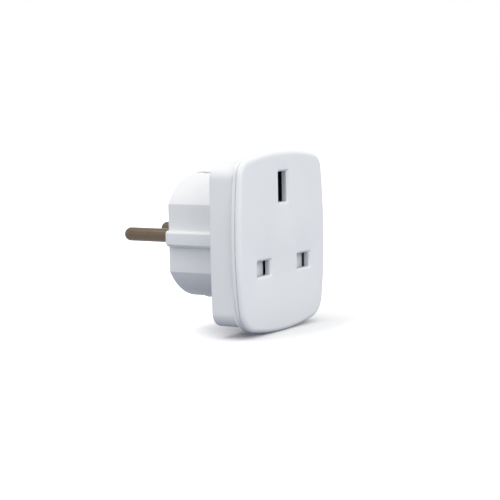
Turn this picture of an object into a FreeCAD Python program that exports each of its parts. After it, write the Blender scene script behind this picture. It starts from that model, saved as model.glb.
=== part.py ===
import FreeCAD, Part
import math
import os

# Travel plug adapter: a square-pin socket on the front, two round pins on the back.
# Millimetres. +X is right as seen from the socket side, +Y points out along the pins, +Z is up.
# The origin is the middle of the plug body's end face, between the two pins.
# A depth is a distance behind the socket face, so the end face lies at body_depth.

# Body, front to back
body_depth = 29.5
mid_depth = 10.2
plate_depth = 1.6
flange_thick = 0.8
face_wall = 2.0
mid_wall = 1.6
end_wall = 1.5

# Front plate, seen from the front
plate_half_width = 24.2
plate_top = 24.6
plate_bottom = -27.0
plate_side_r = 115.0
plate_arch_r = 90.0
plate_corner_r = 7.8
face_edge_r = 1.4
seam_step = 0.12

# Square body behind the plate
mid_side_step = 1.2
mid_top_step = 2.0
mid_bottom_step = 2.1
mid_side_r = 600.0
mid_arch_r = 150.0
mid_corner_r = 5.6
mid_edge_r = 0.9

# Round plug body with its two side flats and ribs
plug_r = 18.2
plug_flat = 15.4
plug_wall = 1.6
flat_wall = 1.0
plug_edge_r = 1.0
rib_proud = 1.7
rib_half_height = 2.15
rib_bevel = 0.7
rib_nose = 1.6
rib_nose_drop = 0.8

# Square-pin plug that the socket takes
line_spacing = 22.22
earth_rise = 22.22
line_pin_width = 6.35
line_pin_height = 3.97
line_pin_length = 17.7
earth_pin_width = 3.97
earth_pin_height = 7.97
line_slot_width = 7.25
line_slot_height = 4.3
earth_slot_width = 5.0
earth_slot_height = 8.7
slot_chamfer = 0.55
pin_room = 0.2

# Round pins
round_pin_r = 2.0
round_pin_length = 19.0
round_pin_spacing = 19.0
collar_r = 2.3
pin_head_r = 3.2
pin_head_thick = 1.5
shank_r = 1.3
peen_r = 2.0
peen_thick = 0.6

# Shutter
shutter_depth = 3.0
shutter_thick = 1.4
shutter_lap = 0.6
blade_lap = 0.3
shutter_travel = 5.5
stem_half_width = 3.0
bar_height = 2.85
bar_half_width = 11.5
ramp_spare = 0.335
ramp_thick = 1.6
ramp_land = 1.4
slide_gap = 0.1
cover_rib_width = 0.8
cover_rib_x = 1.6

# Spring under the shutter
spring_wire_r = 0.18
spring_coil_r = 1.45
spring_turns = 5.0
spring_gap = 0.05
spring_room = 0.3

# Contact carrier
carrier_thick = 1.5
carrier_fit = 0.2
carrier_skirt = 1.2
rail_width = 1.0
trough_wall = 0.9
trough_floor = 0.9
trough_drop = 0.9

# Contacts
strip_thick = 0.45
link_thick = 0.8
link_end_r = 2.6
line_leaf_width = 4.4
leaf_grip_room = 0.11
leaf_back_room = 0.36
leaf_mouth_room = 0.95
leaf_mouth_length = 2.6
leaf_swell_length = 3.0
earth_leaf_low = 0.4
earth_leaf_height = 4.6
earth_clip_back = 0.4
clip_rivet_r = 0.9
clip_rivet_head_r = 1.6
rivet_head_thick = 0.4

# Earth strap
strap_half_width = 3.0
strap_thick = 0.4
strap_base_thick = 0.6
strap_lift = 0.065
strap_pin_room = 0.06
strap_front_room = 0.3
strap_bend_r = 0.7
strap_inner_bend_r = 0.25
window_room = 0.15

# Earth sleeve for a wall socket's own earth pin
sleeve_rise = 8.2
sleeve_bore_r = 2.45
sleeve_wall = 0.5
sleeve_length = 12.0
sleeve_flange_r = 3.9
sleeve_lobe_r = 4.8
sleeve_slit = 0.6
earth_hole_room = 0.05
earth_hole_chamfer = 0.5

# Screws
screw_side_inset = 5.7
screw_top_inset = 7.2
screw_bottom_inset = 6.0
screw_r = 1.3
screw_point = 0.65
screw_head_r = 2.4
screw_head_thick = 1.5
screw_head_edge = 0.45
screw_length = 5.4
screw_slot_reach = 1.32
screw_slot_width = 0.6
screw_slot_depth = 0.7
cover_boss_r = 2.7
housing_boss_r = 3.2
boss_height = 3.7
counterbore_room = 0.25
counterbore_depth = 1.8
fit_room = 0.02
boss_room = 0.35

# Places that follow from the sizes above
mid_half_width = plate_half_width - mid_side_step
mid_top = plate_top - mid_top_step
mid_bottom = plate_bottom + mid_bottom_step
end_inner = body_depth - end_wall
shoulder_inner = mid_depth - mid_wall
boss_split = mid_depth - boss_height
strap_top = plug_r + strap_lift
earth_z = strap_top - strap_pin_room - earth_pin_height / 2
line_z = earth_z - earth_rise
line_x = line_spacing / 2
pin_x = round_pin_spacing / 2
carrier_front = shutter_depth + shutter_thick + slide_gap
carrier_back = carrier_front + carrier_thick
link_back = end_inner - pin_head_thick
link_front = link_back - link_thick
strap_front_face = end_inner - strap_base_thick
blade_low = line_z - line_slot_height / 2 - shutter_lap
blade_high = line_z + line_slot_height / 2 + shutter_lap
bar_low = blade_low - bar_height
spring_seat = mid_bottom + mid_wall + trough_drop + trough_floor
spring_depth = shutter_depth + shutter_thick - slide_gap + spring_wire_r
ramp_crest = earth_z - earth_pin_height / 2 + shutter_travel - slide_gap
ramp_start = ramp_crest - shutter_travel - ramp_spare
strap_front = shoulder_inner + strap_front_room
sleeve_drop = plug_r - sleeve_rise
earth_hole_r = sleeve_bore_r + sleeve_wall + earth_hole_room
screw_x = mid_half_width - screw_side_inset
screw_top_z = mid_top - screw_top_inset
screw_bottom_z = mid_bottom + screw_bottom_inset
screw_tip = mid_depth - counterbore_depth - screw_length
PLATE = (plate_half_width, plate_top, plate_bottom, plate_side_r, plate_arch_r, plate_corner_r)
MID = (mid_half_width, mid_top, mid_bottom, mid_side_r, mid_arch_r, mid_corner_r)
SCREWS = {
    "upper_left": (-screw_x, screw_top_z),
    "upper_right": (screw_x, screw_top_z),
    "lower_left": (-screw_x, screw_bottom_z),
    "lower_right": (screw_x, screw_bottom_z),
}
SIDES = {"neutral": -1, "live": 1}

Vector = FreeCAD.Vector


def at(x, depth, z):
    """A point given by its depth behind the socket face."""
    return Vector(x, depth - body_depth, z)


def box(x0, x1, depth0, depth1, z0, z1):
    return Part.makeBox(x1 - x0, depth1 - depth0, z1 - z0, at(x0, depth0, z0))


def rod(x, z, radius, depth0, depth1):
    """A cylinder along the pins' direction."""
    return Part.makeCylinder(radius, depth1 - depth0, at(x, depth0, z), Vector(0, 1, 0))


def edges_along_y(solid, length):
    """Straight edges of a prism that run front to back over its whole length."""
    spans = [(edge, edge.BoundBox) for edge in solid.Edges]
    return [edge for edge, span in spans
            if abs(span.YLength - length) < 1e-5 and span.XLength < 1e-5 and span.ZLength < 1e-5]


def edges_at_depth(solid, depth):
    """Edges that lie wholly in one plane parallel to the socket face."""
    y = depth - body_depth
    return [e for e in solid.Edges if abs(e.BoundBox.YMin - y) < 1e-5 and abs(e.BoundBox.YMax - y) < 1e-5]


def edges_across(solid, depth, z):
    """Edges at one depth that run straight across at a height of z above or below the pins."""
    return [e for e in edges_at_depth(solid, depth)
            if abs(abs(e.BoundBox.ZMin) - z) < 1e-5 and abs(e.BoundBox.ZMax - e.BoundBox.ZMin) < 1e-5]


def arcs_meet(centre_a, radius_a, centre_b, radius_b):
    """The upper right crossing of two circles given by (x, z) centres."""
    dx = centre_b[0] - centre_a[0]
    dz = centre_b[1] - centre_a[1]
    gap = math.hypot(dx, dz)
    along = (radius_a ** 2 - radius_b ** 2 + gap ** 2) / (2 * gap)
    off = math.sqrt(radius_a ** 2 - along ** 2)
    ux, uz = dx / gap, dz / gap
    crossings = [(centre_a[0] + along * ux - s * off * uz, centre_a[1] + along * uz + s * off * ux)
                 for s in (-1, 1)]
    return max(crossings, key=lambda p: p[0] + p[1])


def bowed_block(outline, inset, depth0, depth1):
    """A block with bowed sides, arched top and bottom and round corners, inset all round."""
    half, top, bottom, side_r, arch_r, corner_r = outline
    half, top, bottom = half - inset, top - inset, bottom + inset
    side_r, arch_r = side_r - inset, arch_r - inset
    middle = (top + bottom) / 2
    rise = (top - bottom) / 2
    corner = arcs_meet((half - side_r, 0), side_r, (0, rise - arch_r), arch_r)
    spots = {}
    for sx in (-1, 1):
        for sz in (-1, 1):
            spots[sx, sz] = at(sx * corner[0], depth0, middle + sz * corner[1])
    arcs = [
        Part.Arc(spots[1, -1], at(half, depth0, middle), spots[1, 1]),
        Part.Arc(spots[1, 1], at(0, depth0, top), spots[-1, 1]),
        Part.Arc(spots[-1, 1], at(-half, depth0, middle), spots[-1, -1]),
        Part.Arc(spots[-1, -1], at(0, depth0, bottom), spots[1, -1]),
    ]
    face = Part.Face(Part.Wire([arc.toShape() for arc in arcs]))
    block = face.extrude(Vector(0, depth1 - depth0, 0))
    return block.makeFillet(max(corner_r - inset, 0.3), edges_along_y(block, depth1 - depth0))


def sheet_section(path, thick):
    """Closed outline of bent sheet metal: a path of points, and a second face to its left."""
    normals = []
    for (a0, b0), (a1, b1) in zip(path, path[1:]):
        run = math.hypot(a1 - a0, b1 - b0)
        normals.append(((b0 - b1) / run, (a1 - a0) / run))
    second = []
    for (a, b), (na, nb), (ma, mb) in zip(path, normals[:1] + normals, normals + normals[-1:]):
        mitre = thick / (1 + na * ma + nb * mb)
        second.append((a + (na + ma) * mitre, b + (nb + mb) * mitre))
    return list(path) + second[::-1]


def prism(corners, step):
    """A flat face with these corners, swept by a step."""
    return Part.Face(Part.makePolygon(corners + corners[:1])).extrude(step)


def slot_cutter(x, z, width, height):
    """A rectangular slot through the face with a bevelled mouth."""
    def rim(grow, depth):
        w, h = width / 2 + grow, height / 2 + grow
        corners = [at(x - w, depth, z - h), at(x + w, depth, z - h),
                   at(x + w, depth, z + h), at(x - w, depth, z + h)]
        return Part.makePolygon(corners + corners[:1])
    mouth = Part.makeLoft([rim(slot_chamfer, 0), rim(0, slot_chamfer)], True, True)
    throat = box(x - width / 2, x + width / 2, 0, face_wall, z - height / 2, z + height / 2)
    return mouth.fuse(throat)


def front_cover():
    cover = bowed_block(PLATE, 0, 0, plate_depth)
    cover = cover.makeFillet(face_edge_r, edges_at_depth(cover, 0))
    spigot_inset = mid_wall + carrier_fit
    spigot_end = carrier_front - slide_gap
    cover = cover.fuse(bowed_block(MID, spigot_inset, plate_depth, spigot_end))
    well = bowed_block(MID, spigot_inset + carrier_skirt, face_wall, spigot_end)
    cover = cover.cut(well)
    ribs = []
    for side in (-1, 1):
        x = side * cover_rib_x
        ribs.append(box(x - cover_rib_width / 2, x + cover_rib_width / 2, face_wall,
                        shutter_depth - slide_gap, blade_low - shutter_travel, ramp_start - shutter_lap))
    bosses = [rod(x, z, cover_boss_r, face_wall, boss_split) for x, z in SCREWS.values()]
    cover = cover.fuse(ribs + bosses)
    cutters = [slot_cutter(side * line_x, line_z, line_slot_width, line_slot_height) for side in (-1, 1)]
    cutters.append(slot_cutter(0, earth_z, earth_slot_width, earth_slot_height))
    for x, z in SCREWS.values():
        cutters.append(rod(x, z, screw_r + fit_room, screw_tip - slide_gap, boss_split))
    return cover.cut(cutters).removeSplitter()


def plug_section(radius, flat, depth0, depth1):
    """A round bar with a flat on each side."""
    bar = rod(0, 0, radius, depth0, depth1)
    return bar.common(box(-flat, flat, depth0, depth1, -radius, radius))


def side_rib(side):
    """The guide rib on a side flat, bevelled along its edges and towards its end."""
    root = plug_flat - flat_wall / 2
    crest = plug_flat + rib_proud
    half = rib_half_height
    section = [(root, -half), (crest - rib_bevel, -half), (crest, -half + rib_bevel),
               (crest, half - rib_bevel), (crest - rib_bevel, half), (root, half)]
    rib = prism([at(side * x, shoulder_inner + mid_wall / 2, z) for x, z in section],
                Vector(0, body_depth - shoulder_inner - mid_wall / 2, 0))
    nose = [(plug_flat, body_depth), (crest - rib_nose_drop, body_depth), (crest, body_depth - rib_nose),
            (crest + rib_nose, body_depth - rib_nose), (crest + rib_nose, body_depth + rib_nose),
            (plug_flat, body_depth + rib_nose)]
    reach = half + rib_bevel
    return rib.cut(prism([at(side * x, depth, -reach) for x, depth in nose], Vector(0, 0, 2 * reach)))


def strap_window(sign):
    """The long window through the wall that one leg of the earth strap lies in."""
    half = strap_half_width + window_room
    reach = strap_top + strap_thick + window_room
    z0, z1 = sorted((sign * (plug_r - 2 * plug_wall), sign * reach))
    return box(-half, half, shoulder_inner, end_inner + window_room, z0, z1)


def rear_housing():
    flange_end = plate_depth + flange_thick
    body = bowed_block(PLATE, seam_step, plate_depth, flange_end)
    mid = bowed_block(MID, 0, plate_depth, mid_depth)
    mid = mid.makeFillet(mid_edge_r, edges_at_depth(mid, mid_depth))
    plug = plug_section(plug_r, plug_flat, mid_depth - mid_wall / 2, body_depth)
    plug = plug.makeFillet(plug_edge_r, edges_at_depth(plug, body_depth))
    body = body.fuse([mid, plug, side_rib(-1), side_rib(1)])

    hollow = bowed_block(MID, mid_wall, plate_depth, shoulder_inner)
    hollow = hollow.fuse(plug_section(plug_r - plug_wall, plug_flat - flat_wall, shoulder_inner, end_inner))
    body = body.cut(hollow)
    bosses = [rod(x, z, housing_boss_r, boss_split + slide_gap, mid_depth - mid_wall / 2)
              for x, z in SCREWS.values()]
    body = body.fuse(bosses)

    cutters = [strap_window(1), strap_window(-1)]
    for side in (-1, 1):
        cutters.append(line_channel(side))
        cutters.append(rod(side * pin_x, 0, collar_r + fit_room, end_inner, body_depth))
    for x, z in SCREWS.values():
        head = mid_depth - counterbore_depth
        cutters.append(rod(x, z, screw_head_r + counterbore_room, head, mid_depth))
        cutters.append(rod(x, z, screw_r + counterbore_room, boss_split, head))
    cutters.append(rod(0, -sleeve_drop, earth_hole_r, end_inner, body_depth))
    cutters.append(Part.makeCone(earth_hole_r, earth_hole_r + earth_hole_chamfer, earth_hole_chamfer,
                                 at(0, body_depth - earth_hole_chamfer, -sleeve_drop), Vector(0, 1, 0)))
    cutters.append(rod(0, rivet_z(), clip_rivet_head_r + pin_room, end_inner,
                       end_inner + rivet_head_thick + slide_gap))
    return body.cut(cutters).removeSplitter()


def line_channel(side):
    """Room in the wall for the corners of a flat pin, the leaves that grip it and the link's end."""
    half_w = line_pin_width / 2 + pin_room / 2
    half_h = line_pin_height / 2 + pin_room
    x = side * line_x
    channel = box(x - half_w, x + half_w, shoulder_inner, line_pin_length + pin_room,
                  line_z - half_h, line_z + half_h)
    half_w = line_leaf_width / 2 + pin_room
    half_h = line_pin_height / 2 + leaf_back_room + strip_thick + pin_room
    leaves = box(x - half_w, x + half_w, shoulder_inner, link_back, line_z - half_h, line_z + half_h)
    return channel.fuse([leaves, link_blank(side, link_end_r + pin_room, link_front, end_inner)])


def shutter():
    """Two blades on a cross bar, with a stem up to the ramp that the earth pin pushes down."""
    front, back = shutter_depth, shutter_depth + shutter_thick
    half = line_slot_width / 2 + blade_lap
    blades = [box(side * line_x - half, side * line_x + half, front, back, blade_low, blade_high)
              for side in (-1, 1)]
    bar = box(-bar_half_width, bar_half_width, front, back, bar_low, blade_low)
    stem = box(-stem_half_width, stem_half_width, front, back, bar_low, ramp_start)
    # The ramp rises at 45 degrees from below the earth pin to its crest
    climb = ramp_crest - ramp_start
    tail = ramp_land + ramp_thick
    profile = [(front, ramp_start), (front + climb, ramp_crest), (front + climb + ramp_land, ramp_crest),
               (front + climb + ramp_land, ramp_crest - ramp_thick),
               (back, ramp_start - tail), (back, ramp_start - tail - ramp_thick),
               (front, ramp_start - tail - ramp_thick)]
    ramp = prism([at(-earth_pin_width / 2, depth, z) for depth, z in profile], Vector(earth_pin_width, 0, 0))
    pad_back = spring_depth + spring_coil_r
    pad = box(-spring_coil_r, spring_coil_r, front, pad_back, bar_low, bar_low + shutter_thick)
    return blades[0].fuse([blades[1], bar, stem, ramp, pad]).removeSplitter()


def shutter_spring():
    """A coil between its seat and the bar. Its wire is six-sided, with the round wire's width across flats."""
    low = spring_seat + spring_gap + spring_wire_r
    high = bar_low - spring_gap - spring_wire_r
    helix = Part.makeLongHelix((high - low) / spring_turns, high - low, spring_coil_r)
    corner_r = spring_wire_r / math.cos(math.pi / 6)
    turns = [math.pi / 3 * k for k in range(7)]
    wire = Part.makePolygon([Vector(spring_coil_r + corner_r * math.cos(t), 0, corner_r * math.sin(t)) for t in turns])
    coil = Part.Wire(helix).makePipeShell([wire], True, True)
    coil.translate(at(0, spring_depth, low))
    return coil


def contact_carrier():
    """The inner plate that covers the contacts and that the shutter slides over."""
    inset = mid_wall + carrier_fit
    skirt_end = shoulder_inner - slide_gap
    plate = bowed_block(MID, inset, carrier_front, skirt_end)
    plate = plate.cut(bowed_block(MID, inset + carrier_skirt, carrier_back, skirt_end))
    rail_in = line_x + line_slot_width / 2 + blade_lap + slide_gap * 2
    rails = [box(min(side * rail_in, side * (rail_in + rail_width)),
                 max(side * rail_in, side * (rail_in + rail_width)),
                 face_wall + slide_gap, carrier_front, blade_low - shutter_travel, blade_high)
             for side in (-1, 1)]
    trough_half = spring_coil_r + spring_wire_r + spring_room
    trough_back = spring_depth + spring_coil_r + spring_wire_r + spring_room
    trough = box(-trough_half - trough_wall, trough_half + trough_wall, carrier_front,
                 trough_back + trough_wall, spring_seat - trough_floor, bar_low + shutter_thick)
    plate = plate.fuse(rails + [trough])
    cutters = [box(-trough_half, trough_half, carrier_front, trough_back, spring_seat,
                   bar_low + shutter_thick + slide_gap)]
    for side in (-1, 1):
        half_w, half_h = line_pin_width / 2 + pin_room, line_pin_height / 2 + pin_room
        cutters.append(box(side * line_x - half_w, side * line_x + half_w, carrier_front, carrier_back,
                           line_z - half_h, line_z + half_h))
    slot_half = earth_pin_width / 2 + pin_room
    ramp_low = ramp_start - ramp_land - ramp_thick * 2 - shutter_travel - pin_room
    cutters.append(box(-slot_half, slot_half, carrier_front, carrier_back, ramp_low,
                       earth_z + earth_pin_height / 2 + pin_room))
    for x, z in SCREWS.values():
        cutters.append(rod(x, z, housing_boss_r + boss_room, face_wall, skirt_end))
    return plate.cut(cutters).removeSplitter()


def round_pin(side):
    """A round-ended pin with its collar in the wall, a head inside and a peened shank."""
    tip = body_depth + round_pin_length
    x = side * pin_x
    shoulder = tip - round_pin_r
    outline = [(0, link_front - peen_thick), (peen_r, link_front - peen_thick), (peen_r, link_front),
               (shank_r, link_front), (shank_r, link_back), (pin_head_r, link_back), (pin_head_r, end_inner),
               (collar_r, end_inner), (collar_r, body_depth), (round_pin_r, body_depth),
               (round_pin_r, shoulder)]
    points = [at(x + r, depth, 0) for r, depth in outline]
    slant = round_pin_r * math.sqrt(0.5)
    tip_arc = Part.Arc(points[-1], at(x + slant, shoulder + slant, 0), at(x, tip, 0)).toShape()
    sides = [Part.makeLine(a, b) for a, b in zip(points, points[1:])]
    axis = Part.makeLine(at(x, tip, 0), points[0])
    face = Part.Face(Part.Wire(sides + [tip_arc, axis]))
    return face.revolve(at(x, 0, 0), Vector(0, 1, 0), 360)


def link_blank(side, radius, depth0, depth1):
    """Round ends at a round pin's shank and behind the flat pin, joined by a straight web."""
    ax, az, bx, bz = side * pin_x, 0.0, side * line_x, line_z
    run = math.hypot(bx - ax, bz - az)
    nx, nz = -(bz - az) / run * radius, (bx - ax) / run * radius
    corners = [at(ax + nx, depth0, az + nz), at(bx + nx, depth0, bz + nz),
               at(bx - nx, depth0, bz - nz), at(ax - nx, depth0, az - nz)]
    web = prism(corners, Vector(0, depth1 - depth0, 0))
    return web.fuse([rod(ax, az, radius, depth0, depth1), rod(bx, bz, radius, depth0, depth1)])


def line_link(side):
    """Flat bar from a round pin's shank to the clip behind the flat pin."""
    holes = [rod(side * pin_x, 0, shank_r + fit_room, link_front, link_back),
             rod(side * line_x, line_z, clip_rivet_r + fit_room, link_front, link_back)]
    return link_blank(side, link_end_r, link_front, link_back).cut(holes).removeSplitter()


def clip_path(half_grip, mouth, base):
    """A clip's inner face as (depth, offset) points: along one leaf, across its base and back."""
    grip = half_grip + leaf_grip_room
    back = half_grip + leaf_back_room
    leaf = [(mouth, half_grip + leaf_mouth_room), (mouth + leaf_mouth_length, grip),
            (mouth + leaf_mouth_length + leaf_swell_length, back), (base, back)]
    return leaf + [(depth, -offset) for depth, offset in reversed(leaf)]


def line_clip(side):
    """U-shaped clip whose two leaves close on a flat pin from above and below."""
    x = side * line_x
    path = clip_path(line_pin_height / 2, carrier_back + slide_gap, link_front - strip_thick)
    corners = [at(x - line_leaf_width / 2, depth, line_z + offset)
               for depth, offset in sheet_section(path, strip_thick)]
    clip = prism(corners, Vector(line_leaf_width, 0, 0))
    return clip.cut(rod(x, line_z, clip_rivet_r + fit_room, link_front - strip_thick, link_front))


def rivet(x, z, depth0, depth1):
    """A shank with a low head at each end, holding what lies between the two depths."""
    shank = rod(x, z, clip_rivet_r, depth0, depth1)
    heads = [rod(x, z, clip_rivet_head_r, depth0 - rivet_head_thick, depth0),
             rod(x, z, clip_rivet_head_r, depth1, depth1 + rivet_head_thick)]
    return shank.fuse(heads).removeSplitter()


def rivet_z():
    return earth_z - earth_pin_height / 2 + earth_leaf_low + earth_leaf_height / 2


def earth_clip():
    """U-shaped clip whose two leaves close on the earth pin from its sides."""
    low = earth_z - earth_pin_height / 2 + earth_leaf_low
    path = clip_path(earth_pin_width / 2, mid_depth + earth_clip_back, strap_front_face - strip_thick)
    corners = [at(offset, depth, low) for depth, offset in sheet_section(path, strip_thick)]
    clip = prism(corners, Vector(0, 0, earth_leaf_height))
    return clip.cut(rod(0, rivet_z(), clip_rivet_r + fit_room, strap_front_face - strip_thick,
                        strap_front_face))


def earth_strap():
    """U-shaped strap: a base behind the end wall, and a leg lying in each window."""
    half, reach = strap_half_width, strap_top + strap_thick
    strap = box(-half, half, strap_front, end_inner, -reach, reach)
    strap = strap.cut(box(-half, half, strap_front, strap_front_face, -strap_top, strap_top))
    strap = strap.makeFillet(strap_bend_r, edges_across(strap, end_inner, reach))
    strap = strap.makeFillet(strap_inner_bend_r, edges_across(strap, strap_front_face, strap_top))
    strap = strap.fuse(rod(0, -sleeve_drop, sleeve_lobe_r, strap_front_face, end_inner))
    holes = [rod(0, -sleeve_drop, sleeve_bore_r + sleeve_wall + fit_room, strap_front_face, end_inner),
             rod(0, rivet_z(), clip_rivet_r + fit_room, strap_front_face, end_inner)]
    return strap.cut(holes).removeSplitter()


def earth_sleeve():
    """Slit tube behind the end face that takes a wall socket's earth pin."""
    outer = sleeve_bore_r + sleeve_wall
    start = end_inner - sleeve_length
    tube = rod(0, -sleeve_drop, outer, start, end_inner)
    flange = rod(0, -sleeve_drop, sleeve_flange_r, strap_front_face - strap_base_thick, strap_front_face)
    tube = tube.fuse(flange).cut(rod(0, -sleeve_drop, sleeve_bore_r, start, end_inner))
    slit_end = start + sleeve_length / 2
    slits = [box(-outer, outer, start, slit_end, -sleeve_drop - sleeve_slit / 2, -sleeve_drop + sleeve_slit / 2),
             box(-sleeve_slit / 2, sleeve_slit / 2, start, slit_end, -sleeve_drop - outer, -sleeve_drop + outer)]
    return tube.cut(slits).removeSplitter()


def housing_screw(x, z):
    """Screw with a bevelled head and a cross recess, driven from the back into the front cover."""
    head_front = mid_depth - counterbore_depth
    head_back = head_front + screw_head_thick
    head = rod(x, z, screw_head_r, head_front, head_back)
    head = head.makeChamfer(screw_head_edge, edges_at_depth(head, head_back))
    shank = rod(x, z, screw_r, screw_tip, head_front)
    shank = shank.makeChamfer(screw_point, edges_at_depth(shank, screw_tip))
    reach, half = screw_slot_reach, screw_slot_width / 2
    floor = head_back - screw_slot_depth
    cross = box(x - reach, x + reach, floor, head_back, z - half, z + half).fuse(
        box(x - half, x + half, floor, head_back, z - reach, z + reach))
    return head.fuse(shank).cut(cross).removeSplitter()


def build():
    nodes = {
        "front_cover": front_cover(),
        "rear_housing": rear_housing(),
        "safety_shutter": shutter(),
        "shutter_spring": shutter_spring(),
        "contact_carrier": contact_carrier(),
        "earth_strap": earth_strap(),
        "earth_clip": earth_clip(),
        "earth_rivet": rivet(0, rivet_z(), strap_front_face - strip_thick, end_inner),
        "earth_sleeve": earth_sleeve(),
    }
    for name, side in SIDES.items():
        nodes[f"{name}_pin"] = round_pin(side)
        nodes[f"{name}_link"] = line_link(side)
        nodes[f"{name}_clip"] = line_clip(side)
        nodes[f"{name}_rivet"] = rivet(side * line_x, line_z, link_front - strip_thick, link_back)
    for name, (x, z) in SCREWS.items():
        nodes[f"screw_{name}"] = housing_screw(x, z)
    return nodes


os.makedirs("parts", exist_ok=True)
for node, shape in build().items():
    shape.exportStep(f"parts/{node}.step")
    print(node, "valid", shape.isValid(), "solids", len(shape.Solids), "volume", round(shape.Volume, 1))
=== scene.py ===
import math

import bmesh
import bpy
import numpy as np
from mathutils import Matrix, Vector
from mathutils.geometry import delaunay_2d_cdt


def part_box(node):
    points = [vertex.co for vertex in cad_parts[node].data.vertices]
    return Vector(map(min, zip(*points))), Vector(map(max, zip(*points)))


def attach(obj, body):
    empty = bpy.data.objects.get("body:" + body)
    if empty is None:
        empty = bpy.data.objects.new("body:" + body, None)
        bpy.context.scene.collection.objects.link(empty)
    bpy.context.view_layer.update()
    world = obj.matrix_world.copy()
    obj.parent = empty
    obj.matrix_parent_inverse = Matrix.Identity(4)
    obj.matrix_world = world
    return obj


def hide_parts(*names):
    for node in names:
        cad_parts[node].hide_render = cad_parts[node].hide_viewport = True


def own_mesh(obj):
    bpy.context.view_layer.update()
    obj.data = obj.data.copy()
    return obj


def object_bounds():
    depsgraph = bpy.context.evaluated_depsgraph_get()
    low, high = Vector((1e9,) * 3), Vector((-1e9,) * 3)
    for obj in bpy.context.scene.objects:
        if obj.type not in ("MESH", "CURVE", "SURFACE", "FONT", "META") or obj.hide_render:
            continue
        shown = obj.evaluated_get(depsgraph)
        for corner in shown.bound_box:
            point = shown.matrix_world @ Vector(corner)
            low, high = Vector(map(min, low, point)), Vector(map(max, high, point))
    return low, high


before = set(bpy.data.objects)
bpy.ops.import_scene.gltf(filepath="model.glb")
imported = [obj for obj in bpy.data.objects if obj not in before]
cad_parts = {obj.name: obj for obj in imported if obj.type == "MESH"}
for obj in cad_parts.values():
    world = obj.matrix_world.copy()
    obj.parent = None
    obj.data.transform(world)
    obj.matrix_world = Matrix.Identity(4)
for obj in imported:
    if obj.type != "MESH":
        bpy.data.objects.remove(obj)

bl_info = {
    "name": "Travel plug adapter",
    "version": (1, 0, 0),
    "blender": (4, 5, 0),
    "location": "View3D > Sidebar > Adapter",
    "description": "Moulded shells, metal parts, finishes and a photo stage for the travel plug adapter",
    "category": "Object",
}

cad_low, cad_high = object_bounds()
cover_low, cover_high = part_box("front_cover")
housing_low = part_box("rear_housing")[0]
pin_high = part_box("live_pin")[1]
spring_low, spring_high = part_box("shutter_spring")

MILLIMETRE = 0.001
HAIR = 0.00001          # keeps two rings apart where a hole has no bevel
SAME_SPOT = 0.0000001   # points closer than this are one
CLOSE = 1e-9            # room for rounding when a point is compared with a line
ROUND_STEPS = 64        # sides of a turned piece and of a round hole
ROOF_POINTS = 5         # points across the roof of a window
SHARP_ANGLE = math.radians(30)


# ---------------------------------------------------------------- sizes and colours

def length(name, default, text):
    """A size in metres, shown in the scene's unit."""
    return bpy.props.FloatProperty(name=name, description=text, default=default, unit="LENGTH",
                                   subtype="DISTANCE", precision=5)


def tint(name, default, text):
    """A colour with its alpha, as linear light."""
    return bpy.props.FloatVectorProperty(name=name, description=text, default=default, size=4,
                                         subtype="COLOR", min=0.0, max=1.0)


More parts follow.
